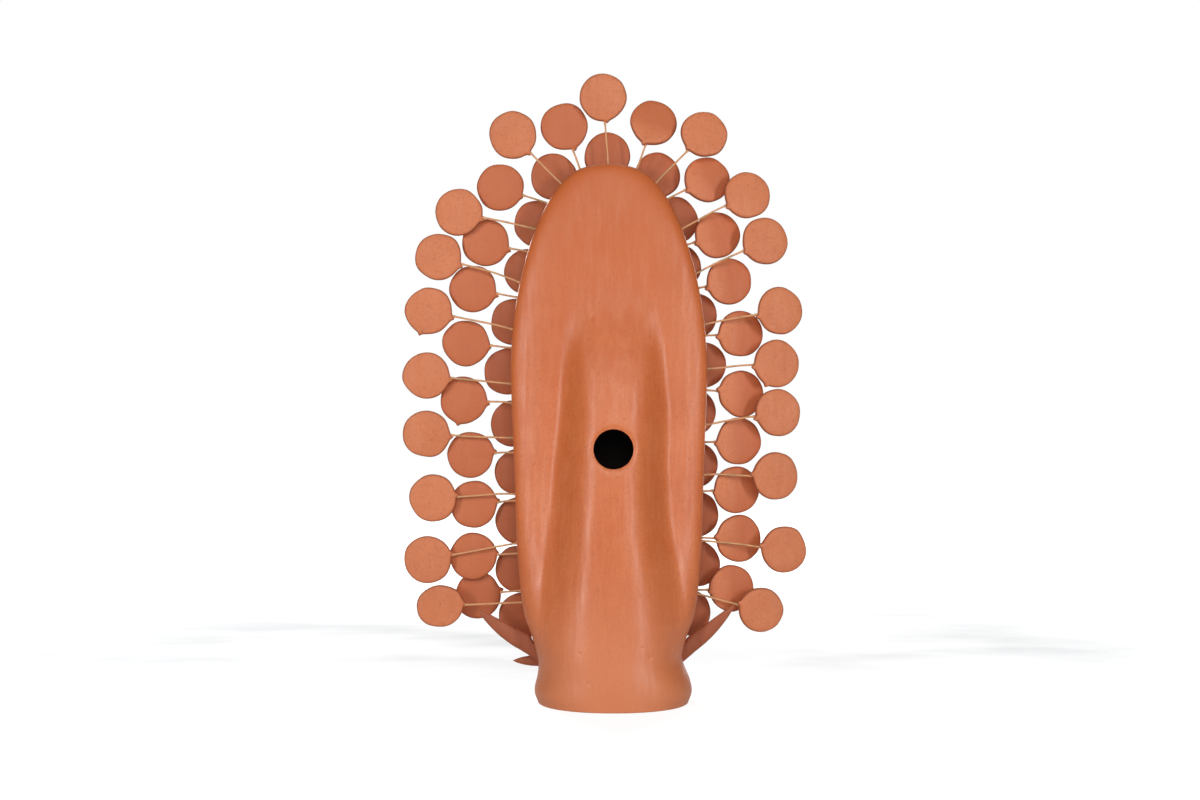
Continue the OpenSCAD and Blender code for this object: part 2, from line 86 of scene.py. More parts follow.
def grain(points, size, seed=0.0):
    """Smooth noise from -1 to 1 at each point; size is its lumps' size in mm, one or one per axis"""
    scaled = np.asarray(points, float) / np.asarray(size, float) + seed
    return np.array([noise.noise(Vector(p)) for p in scaled])


def closed_mesh(name, points, faces):
    """A mesh from points in millimetres, with all its faces turned outwards"""
    mesh = bpy.data.meshes.new(name)
    mesh.from_pydata((np.asarray(points, float) * MM).tolist(), [], [list(f) for f in faces])
    shape = bmesh.new()
    shape.from_mesh(mesh)
    bmesh.ops.recalc_face_normals(shape, faces=shape.faces)
    shape.to_mesh(mesh)
    shape.free()
    return mesh


def put(name, data):
    """A new object in the scene"""
    made = bpy.data.objects.new(name, data)
    bpy.context.scene.collection.objects.link(made)
    return made


def make_piece(name, points, faces, material, replaces, smooth=True):
    """An object made from such a mesh that rides on the tree and takes the place of CAD nodes"""
    mesh = closed_mesh(name, points, faces)
    if smooth:
        mesh.shade_smooth()
    mesh.materials.append(material)
    piece = put(name, mesh)
    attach(piece, "root")
    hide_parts(*replaces)
    return piece


class Parts:
    """Several meshes gathered into one"""

    def __init__(self):
        self.points = []
        self.faces = []
        self.count = 0

    def add(self, points, faces):
        self.points.append(np.asarray(points, float))
        self.faces += [[i + self.count for i in f] for f in faces]
        self.count += len(points)

    def all_points(self):
        return np.concatenate(self.points)


def grid_faces(rows, columns, closed=True, start=0):
    """Quads between rows of points, closed round each row or open"""
    faces = []
    for r in range(rows - 1):
        for c in range(columns if closed else columns - 1):
            d = (c + 1) % columns
            a = start + r * columns
            b = a + columns
            faces.append((a + c, a + d, b + d, b + c))
    return faces


def tube_faces(rows, sides):
    """Quads between closed rows of points, and fans to the two end points that follow the rows"""
    last, count = (rows - 1) * sides, rows * sides
    faces = grid_faces(rows, sides)
    faces += [((k + 1) % sides, k, count) for k in range(sides)]
    faces += [(last + k, last + (k + 1) % sides, count + 1) for k in range(sides)]
    return faces


def circle(sides):
    """Angles evenly spaced round a full turn"""
    return np.linspace(0, 2 * math.pi, sides, endpoint=False)


def box_middle(points):
    return (points.min(0) + points.max(0)) / 2


def tube(path, radii, sides):
    """A closed tube along a path, with a radius at each point"""
    path = np.asarray(path, float)
    ahead = np.gradient(path, axis=0)
    ahead /= np.linalg.norm(ahead, axis=1)[:, None]
    side = np.cross(ahead, (0.0, 1.0, 0.0))
    side /= np.linalg.norm(side, axis=1)[:, None]
    over = np.cross(side, ahead)
    turn = circle(sides)
    rings = [
        path[i] + radii[i] * (np.cos(turn)[:, None] * side[i] + np.sin(turn)[:, None] * over[i])
        for i in range(len(path))
    ]
    return np.concatenate(rings + [path[:1], path[-1:]]), tube_faces(len(path), sides)


# Corners that round to the same step of this many mm are one point
WELD = 0.02


def solids(node):
    """The separate solids of a CAD node, each as its points in mm and its triangles' corners"""
    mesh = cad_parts[node].data
    mesh.calc_loop_triangles()
    points = np.array([v.co for v in mesh.vertices]) / MM
    triangles = np.array([t.vertices for t in mesh.loop_triangles])
    _, welded = np.unique(np.round(points / WELD).astype(np.int64), axis=0, return_inverse=True)
    welded = welded.reshape(-1)
    labels = np.arange(welded.max() + 1)
    corners = welded[triangles]
    edges = np.concatenate([corners[:, [0, 1]], corners[:, [1, 2]]])
    while True:
        before = labels.copy()
        low = np.minimum(labels[edges[:, 0]], labels[edges[:, 1]])
        np.minimum.at(labels, edges[:, 0], low)
        np.minimum.at(labels, edges[:, 1], low)
        labels = labels[labels]
        if (labels == before).all():
            break
    found = []
    for label in np.unique(labels):
        own = triangles[labels[corners[:, 0]] == label]
        used = np.unique(own)
        found.append((points[used], points[own]))
    return found


def unit(v):
    return np.asarray(v, float) / np.linalg.norm(v)


# ---- materials ----

def node_tree(name):
    material = bpy.data.materials.new(name)
    material.use_nodes = True
    tree = material.node_tree
    tree.nodes.clear()
    return material, tree


def feed(tree, socket, value):
    """Gives a node's input a value or another node's output"""
    if isinstance(value, bpy.types.NodeSocket):
        tree.links.new(value, socket)
    else:
        socket.default_value = value


def add(tree, kind, **inputs):
    """A shader node with its inputs fed by name"""
    made = tree.nodes.new(kind)
    for key, value in inputs.items():
        feed(tree, made.inputs[key.replace("_", " ")], value)
    return made


def noise_at(tree, place, scale, detail=3.0, roughness=0.55):
    return add(tree, "ShaderNodeTexNoise", Vector=place, Scale=scale, Detail=detail,
               Roughness=roughness).outputs["Fac"]


def stretch(tree, place, scale):
    return add(tree, "ShaderNodeMapping", Vector=place, Scale=scale).outputs["Vector"]


def levels(tree, value, low, high, to_low=0.0, to_high=1.0):
    """A value stretched so that low to high becomes to_low to to_high, and held at those"""
    return add(tree, "ShaderNodeMapRange", Value=value, From_Min=low, From_Max=high, To_Min=to_low,
               To_Max=to_high).outputs["Result"]


def maths(tree, operation, a, b):
    made = tree.nodes.new("ShaderNodeMath")
    made.operation = operation
    for socket, value in zip(made.inputs, (a, b)):
        feed(tree, socket, value)
    return made.outputs["Value"]


def weighted_sum(tree, terms):
    total = 0.0
    for socket, weight in terms:
        total = maths(tree, "ADD", maths(tree, "MULTIPLY", socket, weight), total)
    return total


def tint(tree, share, colour_a, colour_b):
    """From one colour to the other as share goes from 0 to 1"""
    made = tree.nodes.new("ShaderNodeMix")
    made.data_type = "RGBA"
    tree.links.new(share, made.inputs["Factor"])
    for name, value in (("A", colour_a), ("B", colour_b)):
        socket = [s for s in made.inputs if s.name == name and s.type == "RGBA"][0]
        feed(tree, socket, (*value, 1) if isinstance(value, tuple) else value)
    return [s for s in made.outputs if s.type == "RGBA"][0]


def point_mark(tree, name):
    """A number that a piece's points carry"""
    made = tree.nodes.new("ShaderNodeAttribute")
    made.attribute_name = name
    return made.outputs["Fac"]


def axes(tree, place):
    """A place's X, Y and Z by name"""
    return add(tree, "ShaderNodeSeparateXYZ", Vector=place).outputs


def finished(material, tree, shader):
    output = tree.nodes.new("ShaderNodeOutputMaterial")
    tree.links.new(shader.outputs["BSDF"], output.inputs["Surface"])
    return material


# Painted shade on the disc rows nearer the front, a disc's rim darkened partly as rough clay and partly as
# painted shade, the foot paler partly from dust and partly as painted bounce light, and painted shade on the
# body's top
SECOND_ROW_SHADE = (0.43, 0.1, 0.029)
THIRD_ROW_SHADE = (0.34, 0.076, 0.02)
ROUGH_RIM_AND_SHADE = (0.22, 0.06, 0.024)
FOOT_DUST_AND_BOUNCE_LIGHT = (0.6, 0.2, 0.088)
TOP_SHADE = (0.46, 0.108, 0.03)
# Where the painted shade on the second and third rows of discs starts, in metres towards the front, and its
# share
SECOND_ROW_SHADE_Y = (-0.0085, -0.0115, 0.8)
THIRD_ROW_SHADE_Y = (-0.018, -0.02, 0.6)
# Coarse grains, and pin holes where one fell out, darkened with painted shade
GRIT = (0.33, 0.08, 0.026)
PIN_HOLE_SHADE = (0.14, 0.032, 0.013)
# The hollow's wall, painted near-black as the shade inside the hollow
HOLLOW_SHADE = (0.008, 0.004, 0.003)


def clay(name, streaks, rough, base, pale, deep, painted_body_shading=False, rimmed=False):
    """Unglazed terracotta: mottled colour, wiping streaks, sandy grain and pin holes"""
    material, tree = node_tree(name)
    place = add(tree, "ShaderNodeTexCoord").outputs["Object"]
    wiped = stretch(tree, place, (1.0, 1.0, 0.12))
    mottle = noise_at(tree, place, 16, 4)
    cloud = noise_at(tree, place, 55, 3)
    streak = noise_at(tree, wiped, 260, 3, 0.6)
    fine_streak = noise_at(tree, wiped, 900, 2, 0.6)
    sand = noise_at(tree, place, 1500, 2, 0.7)
    grit = noise_at(tree, place, 480, 3, 0.7)
    colour = tint(tree, levels(tree, mottle, 0.25, 0.6), deep, base)
    for source, low, high, share, tone in (
        (cloud, 0.4, 0.75, 0.3, pale), (streak, 0.42, 0.72, 0.5 * streaks, pale),
        (fine_streak, 0.5, 0.75, 0.5 * streaks, deep), (sand, 0.52, 0.76, 0.45, deep),
        (grit, 0.52, 0.68, 0.4, GRIT),
    ):
        colour = tint(tree, levels(tree, source, low, high, 0, share), colour, tone)
    pins = add(tree, "ShaderNodeTexVoronoi", Vector=place, Scale=150.0)
    pin = levels(tree, pins.outputs["Distance"], 0.04, 0.11, 1, 0)
    rare = levels(tree, noise_at(tree, place, 45, 2), 0.55, 0.6)
    pin = maths(tree, "MULTIPLY", pin, rare)
    # The pin holes are bumped in and darkened with painted shade
    colour = tint(tree, maths(tree, "MULTIPLY", pin, 0.75), colour, PIN_HOLE_SHADE)
    gloss = 0.5
    where = axes(tree, place)
    if rimmed:
        # Painted shade: the second and third rows of discs turn darker and deeper in colour towards the front
        for (near, far, share), tone in ((SECOND_ROW_SHADE_Y, SECOND_ROW_SHADE), (THIRD_ROW_SHADE_Y, THIRD_ROW_SHADE)):
            colour = tint(tree, levels(tree, where["Y"], near, far, 0, share), colour, tone)
        # A disc's rim is darkened partly as rough clay and partly as painted shade
        colour = tint(tree, maths(tree, "MULTIPLY", point_mark(tree, "rim"), 0.7), colour, ROUGH_RIM_AND_SHADE)
    if painted_body_shading:
        # The foot turns paler, partly from dust and partly as painted bounce light from the floor
        colour = tint(tree, levels(tree, where["Z"], 0.12, 0.0, 0, 0.75), colour, FOOT_DUST_AND_BOUNCE_LIGHT)
        # Painted shade: the body turns darker towards its top
        colour = tint(tree, levels(tree, where["Z"], 0.2, 0.42, 0, 0.85), colour, TOP_SHADE)
        # Painted shade: the hollow's inner wall is near-black
        inside = point_mark(tree, "inside")
        colour = tint(tree, inside, colour, HOLLOW_SHADE)
        gloss = levels(tree, where["Z"], 0.2, 0.36, gloss, 0.3)
        gloss = maths(tree, "MULTIPLY", gloss, levels(tree, inside, 0, 1, 1.0, 0.1))
    height = weighted_sum(tree, (
        (streak, 0.5 * streaks), (sand, 0.2), (fine_streak, 0.12 * streaks),
        (cloud, 0.35), (grit, 0.5), (pin, -0.6)))
    bump = add(tree, "ShaderNodeBump", Height=height, Strength=0.65, Distance=0.00035)
    shine = levels(tree, streak, 0.3, 0.75, rough + 0.08, rough - 0.08)
    shader = add(tree, "ShaderNodeBsdfPrincipled", Base_Color=colour, Roughness=shine,
                 Specular_IOR_Level=gloss, Normal=bump.outputs["Normal"])
    return finished(material, tree, shader)


def slipped_wire(name):
    """Annealed wire, tan where clay slip has dried on it and grey-brown where it is bare"""
    material, tree = node_tree(name)
    place = add(tree, "ShaderNodeTexCoord").outputs["Object"]
    patch = noise_at(tree, place, 120, 3)
    speck = noise_at(tree, place, 700, 2)
    colour = tint(tree, levels(tree, patch, 0.38, 0.5), (0.4, 0.23, 0.1), (0.6, 0.28, 0.125))
    colour = tint(tree, levels(tree, speck, 0.5, 0.75, 0, 0.6), colour, (0.45, 0.3, 0.14))
    bump = add(tree, "ShaderNodeBump", Height=speck, Strength=0.5, Distance=0.0002)
    shader = add(tree, "ShaderNodeBsdfPrincipled", Base_Color=colour,
                 Roughness=levels(tree, patch, 0.4, 0.6, 0.42, 0.75), Normal=bump.outputs["Normal"])
    return finished(material, tree, shader)


BODY_CLAY = clay("body_clay", 0.9, 0.4, (0.57, 0.139, 0.036), (0.63, 0.2, 0.078), (0.5, 0.107, 0.024),
                 painted_body_shading=True)
DISC_CLAY = clay("disc_clay", 0.25, 0.6, (0.55, 0.162, 0.061), (0.59, 0.205, 0.09), (0.47, 0.128, 0.043),
                 rimmed=True)
RELIEF_CLAY = clay("relief_clay", 0.15, 0.6, (0.5, 0.142, 0.05), (0.55, 0.185, 0.078), (0.43, 0.112, 0.035))
# The foot leaves take a darker copy of the relief clay: painted shade for leaves that lie in the body's shade
SHADED_LEAF_CLAY = clay("shaded_leaf_clay", 0.3, 0.65, (0.32, 0.078, 0.028), (0.37, 0.1, 0.042), (0.27, 0.062, 0.02))
WIRE = slipped_wire("wire")


# ---- the hollow body ----
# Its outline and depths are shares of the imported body's box.
BODY_LO, BODY_HI = as_mm("rear_shell")
BODY_W = BODY_HI[0] - BODY_LO[0]
BODY_H = BODY_HI[2]
BODY_X = (BODY_HI[0] + BODY_LO[0]) / 2
# The rear is deepest a little above the floor; at the floor its depth is this share of that
FLOOR_SHARE = 0.976
FOOT_REAR = BODY_HI[1] * FLOOR_SHARE
FOOT_FRONT = -as_mm("front_shell")[0][1]
FACE_Y = as_mm("trunk")[1][1]
FACE_DEPTH = -FACE_Y
WALL = 5.0
# Half width and height, from the foot to the apex
OUTLINE = [
    [59.5, 0], [62.3, 11], [57.3, 33], [61, 51], [67.5, 70], [71, 95], [73.5, 130], [75, 178],
    [77, 230], [77.8, 270], [74.5, 310], [66.5, 349], [55, 382], [42, 405], [25, 421], [0, 426],
]
DESIGN_W = 156
DESIGN_H = 426
# Each row of the tables starts with a height. The slab's depth is a share of the foot's. The column's rise
# over the slab, its half width and the sideways shifts are in mm. A higher power makes a squarer section.
REAR_SLAB = [
    [0, 1.005], [13, 1.02], [24, 0.985], [36, 0.9], [50, 0.77], [70, 0.6], [100, 0.43], [130, 0.34],
    [160, 0.3], [260, 0.28], [340, 0.26], [426, 0.24],
]
COLUMN_RISE = [
    [0, 0], [13, 0.1], [24, 1.3], [36, 4.6], [50, 9.9], [70, 16.7], [100, 23], [130, 26],
    [160, 27], [200, 25], [240, 20.5], [265, 16], [285, 10.2], [304, 4.4], [320, 1.2], [338, 0], [426, 0],
]
COLUMN_HALF = [
    [0, 64], [20, 62], [36, 60], [60, 59], [100, 56], [130, 52], [160, 49], [200, 47], [240, 45],
    [280, 42], [320, 37], [426, 36],
]
COLUMN_SHIFT = [[0, 0], [40, -1.5], [100, -1.5], [145, -0.5], [180, -1], [230, -3.5], [426, -4]]
BODY_SHIFT = [[0, -3.5], [18, -3.5], [40, -0.5], [426, 0]]
FOOT_BLEND = [[0, 1], [16, 1], [28, 0.66], [40, 0.26], [50, 0.06], [60, 0], [426, 0]]
REAR_POWER = [[0, 2.1], [40, 2.3], [80, 2.6], [426, 2.6]]
FRONT_POWER = [[0, 2.1], [30, 2.4], [56, 4], [80, 5], [426, 5]]
# How flat the column's top is, how softly its sides run out, and how much narrower it is per mm of inset
COLUMN_FLAT = 3.1
COLUMN_FOOT = 2.2
COLUMN_INSET = 0.7
# How many mm of height the rear's tables are blurred over
TABLE_BLUR = 8.0
# How far the front's curve would rise over its flat face, and over how many mm the two meet, high up and
# at the foot
FACE_OVER = 1.08
FACE_SOFT = 0.6
FOOT_SOFT = 4.0
# The half widths below which the apex gets thinner, and the bottom edge's radius
APEX_W = 56
APEX_FRONT_W = 22
FOOT_ROUND = 0.9
# The vent's centre and radius. Its rim falls away within the lip's width, by so much per mm squared.
VENT = np.array([BODY_X - 3.5, 201.0])
VENT_R = 15.5
VENT_LIP = 2.4
VENT_ROUND = 0.3
# From where to where the vent's cutter reaches
VENT_CUT_Y = (3, 60)
# Points round the vent and round the foot's slab
RING = 96
# Rows and columns of the body's outer skin, and how many of them the inner skin takes as one
BODY_ROWS = 330
REAR_COLUMNS = 181
FRONT_COLUMNS = 145
INNER_COARSER = 6


def control(i):
    """A point of the outline, mirrored just beyond both ends"""
    if i < 0:
        return np.array([OUTLINE[0][0], -OUTLINE[1][1]])
    if i == len(OUTLINE):
        return np.array([-OUTLINE[-2][0], OUTLINE[-2][1]])
    return np.array(OUTLINE[i])


def outline_at(t):
    i = min(int(t), len(OUTLINE) - 2)
    t -= i
    p, q, r, s = (control(i + k) for k in (-1, 0, 1, 2))
    at = 0.5 * (2 * q + (r - p) * t + (2 * p - 5 * q + 4 * r - s) * t**2 + (3 * q - p - 3 * r + s) * t**3)
    return np.array([at[0] * BODY_W / DESIGN_W, at[1] * BODY_H / DESIGN_H])


def squared(u, power):
    return np.maximum(0, 1 - np.minimum(1, np.abs(u)) ** power) ** (1 / power)


def softened(table):
    """A table of heights blurred over a few millimetres, so that the skin shows no kinks"""
    reach = int(3 * TABLE_BLUR)
    heights = np.arange(-reach, BODY_H + reach)
    near = np.exp(-0.5 * (np.arange(-reach, reach + 1) / TABLE_BLUR) ** 2)
    values = np.pad(smooth_lookup(heights, table), reach, "edge")
    return heights, np.convolve(values, near / near.sum(), "valid")


SOFT_SLAB, SOFT_RISE, SOFT_HALF, SOFT_POWER = map(softened, (REAR_SLAB, COLUMN_RISE, COLUMN_HALF, REAR_POWER))


def column_rise(x, z, inset):
    half = np.interp(z, *SOFT_HALF) - inset * COLUMN_INSET
    s = (x - smooth_lookup(z, COLUMN_SHIFT)) / half
    return np.interp(z, *SOFT_RISE) * np.maximum(0, 1 - np.abs(s) ** COLUMN_FLAT) ** COLUMN_FOOT


def rear_depth(u, w, z, inset=0.0):
    slab = FOOT_REAR * np.interp(z, *SOFT_SLAB) * np.sqrt(np.minimum(1, w / APEX_W))
    slab = np.maximum(slab - inset, slab * 0.3)
    return slab * squared(u, np.interp(z, *SOFT_POWER)) + column_rise(u * w, z, inset) * np.minimum(
        1, squared(u, 2) * 1.5)


def front_flat(z):
    return FACE_DEPTH + (FOOT_FRONT - FACE_DEPTH) * smooth_lookup(z, FOOT_BLEND)


def soft_least(a, b, soft):
    """The lesser of two depths, rounded off where they cross"""
    return a - soft * np.logaddexp(0, (a - b) / soft)


def front_depth(u, w, z, inset=0.0):
    flat = front_flat(z)
    cap = np.sqrt(np.minimum(1, w / APEX_FRONT_W))
    deep = np.maximum((flat - inset) * cap, flat * cap * 0.3)
    curved = FACE_OVER * deep * squared(u, smooth_lookup(z, FRONT_POWER))
    soft = FACE_SOFT + (FOOT_SOFT - FACE_SOFT) * smooth_lookup(z, FOOT_BLEND)
    return np.maximum(0, soft_least(deep, curved, soft)) * deep / soft_least(deep, FACE_OVER * deep, soft)


# Marks that the maker's hands left on the rear: sideways and height from the body's middle, size and depth
REAR_MARKS = [
    (13.5, 304, 0.9, 3.0, 0.9), (51, 259, 0.7, 2.4, 0.7), (21, 384, 1.0, 1.0, 0.6),
    (54, 38, 1.0, 2.2, 1.4), (17, 156, 1.1, 0.8, 0.6), (5, 155, 0.9, 0.8, 0.5),
    (-20, 157, 0.9, 0.9, 0.5), (-31, 41, 1.0, 1.0, 0.6), (23, 45, 0.9, 0.9, 0.6),
    (19, 22, 0.9, 0.9, 0.5), (-25, 49, 0.8, 0.9, 0.5), (-2, 118, 0.8, 0.8, 0.5),
]
# A ring left by a fingertip: sideways, height and radius
FINGER_RING = (9.5, 52.5, 1.6)


def rear_marks(x, z):
    """How far the hand-worked rear lies above or below its smooth shape"""
    low = 1 - ramp(z, 170, 215)
    groove = -0.4 * np.exp(-(((x - 54) / 3.6) ** 2)) * low * ramp(z, 70, 100)
    ridge = 0.25 * np.exp(-(((x - 47.5) / 4.2) ** 2)) * low * ramp(z, 60, 100)
    right_ridge = 0.2 * np.exp(-(((x + 48) / 5) ** 2)) * low * ramp(z, 90, 130)
    flat_points = np.stack([x, np.zeros_like(x), z], axis=1)
    paddled = 0.55 * grain(flat_points, (26, 30, 60), 3.3)
    wiped = 0.16 * grain(flat_points, (5.5, 9, 85), 9.1) + 0.07 * grain(flat_points, (2.4, 9, 60), 5.7)
    total = groove + ridge + right_ridge + paddled + wiped
    for mark_x, mark_z, wide, tall, deep in REAR_MARKS:
        total = total - deep * np.exp(-(((x - mark_x) / wide) ** 2) - ((z - mark_z) / tall) ** 2)
    ring = np.hypot(x - FINGER_RING[0], z - FINGER_RING[1])
    return total - 0.35 * np.exp(-(((ring - FINGER_RING[2]) / 0.45) ** 2))


def front_marks(x, z):
    flat_points = np.stack([x, np.zeros_like(x), z], axis=1)
    return 0.4 * grain(flat_points, (22, 30, 30), 6.1) + 0.12 * grain(flat_points, (6, 9, 12), 2.2)


def shell_points(rear, rows, columns, inset):
    """Rings of one half of the body from the foot to the apex; the last point is the apex"""
    ring_t = np.linspace(0, len(OUTLINE) - 1, rows + 1)[:-1]
    sign = 1 if rear else -1
    u = sign * np.cos(np.linspace(0, math.pi, columns))
    found = []
    for t in ring_t:
        w, z = outline_at(t)
        w = max(w - inset, w * 0.6)
        z = z * (BODY_H - inset) / BODY_H
        heights = np.full(columns, z)
        depth = rear_depth(u, w, heights, inset) if rear else front_depth(u, w, heights, inset)
        if inset == 0 and z < FOOT_ROUND:
            tuck = FOOT_ROUND - math.sqrt(FOOT_ROUND**2 - (FOOT_ROUND - z) ** 2)
            depth = depth * (1 - tuck / FOOT_REAR)
            w -= tuck
        x = u * w
        if inset == 0:
            fade = squared(u, 2) ** 0.7 * ramp(z, -6, 12)
            depth = depth + fade * (rear_marks(x, heights) if rear else front_marks(x, heights) * 0.5)
            if rear:
                lip = np.clip(VENT_LIP - (np.hypot(x + BODY_X - VENT[0], z - VENT[1]) - VENT_R), 0, VENT_LIP)
                depth = depth - VENT_ROUND * lip**2
        shift = BODY_X + smooth_lookup(z, BODY_SHIFT)
        found.append(np.stack([x + shift, sign * depth, heights], axis=1))
    apex = [[BODY_X, 0, BODY_H - inset]]
    return np.concatenate(found + [apex])


def shell(name, rear, rows, columns, coarse):
    """One half of the hollow body: a fine outer skin, a coarse inner one, and the wall's edges"""
    outer = shell_points(rear, rows, columns, 0)
    inner_rows, inner_columns = rows // coarse, (columns - 1) // coarse + 1
    inner = shell_points(rear, inner_rows, inner_columns, WALL)
    base = len(outer)
    apex, inner_apex = base - 1, base + len(inner) - 1
    faces = grid_faces(rows, columns, False)
    top = (rows - 1) * columns
    faces += [(top + c, top + c + 1, apex) for c in range(columns - 1)]
    faces += [tuple(reversed(f)) for f in grid_faces(inner_rows, inner_columns, False, base)]
    inner_top = base + (inner_rows - 1) * inner_columns
    faces += [(inner_top + c + 1, inner_top + c, inner_apex) for c in range(inner_columns - 1)]
    for c in range(inner_columns - 1):
        rim = [coarse * c + k for k in range(coarse + 1)]
        faces.append(tuple(reversed(rim)) + (base + c, base + c + 1))
    for column, inner_column, flip in ((0, 0, False), (columns - 1, inner_columns - 1, True)):
        for r in range(inner_rows):
            low = [(coarse * r + k) * columns + column for k in range(coarse + 1) if coarse * r + k < rows]
            if r == inner_rows - 1:
                low.append(apex)
            inner_low = base + r * inner_columns + inner_column
            inner_high = inner_low + inner_columns if r < inner_rows - 1 else inner_apex
            edge = tuple(low) + (inner_high, inner_low)
            faces.append(edge if flip else tuple(reversed(edge)))
    node = "rear_shell" if rear else "front_shell"
    piece = make_piece(name, np.concatenate([outer, inner]), faces, BODY_CLAY, (node,))
    inside = piece.data.attributes.new("inside", "FLOAT", "POINT")
    inside.data.foreach_set("value", [0.0] * base + [1.0] * len(inner))
    return piece


def cut_vent(piece):
    """Cuts the round vent through the rear wall"""
    x, z = VENT[:, None] + VENT_R * np.array([np.cos(circle(RING)), np.sin(circle(RING))])
    ends = [np.stack([x, np.full(RING, y), z], axis=1) for y in VENT_CUT_Y]
    faces = grid_faces(2, RING) + [tuple(range(RING - 1, -1, -1)), tuple(range(RING, 2 * RING))]
    cutter = put("vent_cutter", closed_mesh("vent_cutter", np.concatenate(ends), faces))
    cut = piece.modifiers.new("vent", "BOOLEAN")
    cut.operation = "DIFFERENCE"
    cut.solver = "EXACT"
    cut.object = cutter
    depsgraph = bpy.context.evaluated_depsgraph_get()
    result = bpy.data.meshes.new_from_object(piece.evaluated_get(depsgraph))
    piece.modifiers.clear()
    piece.data = result
    bpy.data.objects.remove(cutter)
    result.shade_smooth()
    result.set_sharp_from_angle(angle=math.radians(50))


cut_vent(shell("body_rear", True, BODY_ROWS, REAR_COLUMNS, INNER_COARSER))
front_body = shell("body_front", False, BODY_ROWS, FRONT_COLUMNS, INNER_COARSER)
front_body.data.set_sharp_from_angle(angle=math.radians(60))


def foot_slab():
    """The slab that closes the foot, just inside the wall"""
    height = as_mm("base_plate")[1][2]
    rings = []
    half_ring = RING // 2
    for level, inset in ((0.0, 6.1), (0.8, 5.4), (height - 0.8, 5.4), (height, 6.1)):
        w = outline_at(0)[0] - inset
        halves = []
        for sign, depth_of in ((1, rear_depth), (-1, front_depth)):
            u = sign * np.cos(np.linspace(0, math.pi, half_ring + 1))[:-1]
            ground = np.zeros(half_ring)
            y = sign * depth_of(u, w, ground, inset)
            halves.append(np.stack([u * w + BODY_X + smooth_lookup(0, BODY_SHIFT), y, ground + level], 1))
        rings.append(np.concatenate(halves))
    faces = grid_faces(4, RING) + [tuple(range(RING - 1, -1, -1)), tuple(range(3 * RING, 4 * RING))]
    make_piece("foot_slab", np.concatenate(rings), faces, BODY_CLAY, ("base_plate",),
               smooth=False)


foot_slab()


# ---- discs ----

class Seat:
    """Where a CAD disc lies: its centre, the way out along its wire, and its rear face's normal"""

    def __init__(self, points, triangles):
        normals = np.cross(triangles[:, 1] - triangles[:, 0], triangles[:, 2] - triangles[:, 0])
        areas = np.linalg.norm(normals, axis=1)
        lead = normals[areas.argmax()] / areas.max()
        alike = normals @ lead / np.maximum(areas, 1e-9)
        chosen = np.abs(alike) > 0.995
        normal = unit((normals[chosen] * np.sign(alike[chosen])[:, None]).sum(0))
        self.normal = normal if normal[1] > 0 else -normal
        away = points - box_middle(points)
        away -= np.outer(away @ self.normal, self.normal)
        nub = unit(away[np.linalg.norm(away, axis=1).argmax()])
        self.out = -nub
        self.across = np.cross(self.normal, self.out)
        side = points @ self.across
        self.radius = (side.max() - side.min()) / 2
        depth = points @ self.normal
        self.half = (depth.max() - depth.min()) / 2
        along = points @ self.out
        self.nub = along.max() - along.min() - 2 * self.radius
        self.centre = (
            self.out * (along.max() - self.radius)
            + self.across * (side.max() + side.min()) / 2
            + self.normal * (depth.max() + depth.min()) / 2
        )

    def place(self, local):
        """Points given along out, across and normal, put in the tree's frame"""
        return self.centre + local @ np.stack([self.out, self.across, self.normal])


# How far out a disc's rings of points lie, as shares of its radius
RIM_STEPS = [0.12, 0.26, 0.4, 0.54, 0.66, 0.76, 0.83, 0.88, 0.92, 0.95, 0.972, 0.987, 0.996]
DISC_SIDES = 120
# How uneven a disc's outline may be: waves round it, and their height as a share of its radius
RIM_WAVES = ((2, 0.016), (3, 0.013), (4, 0.010), (5, 0.009), (6, 0.007), (7, 0.005), (9, 0.003))


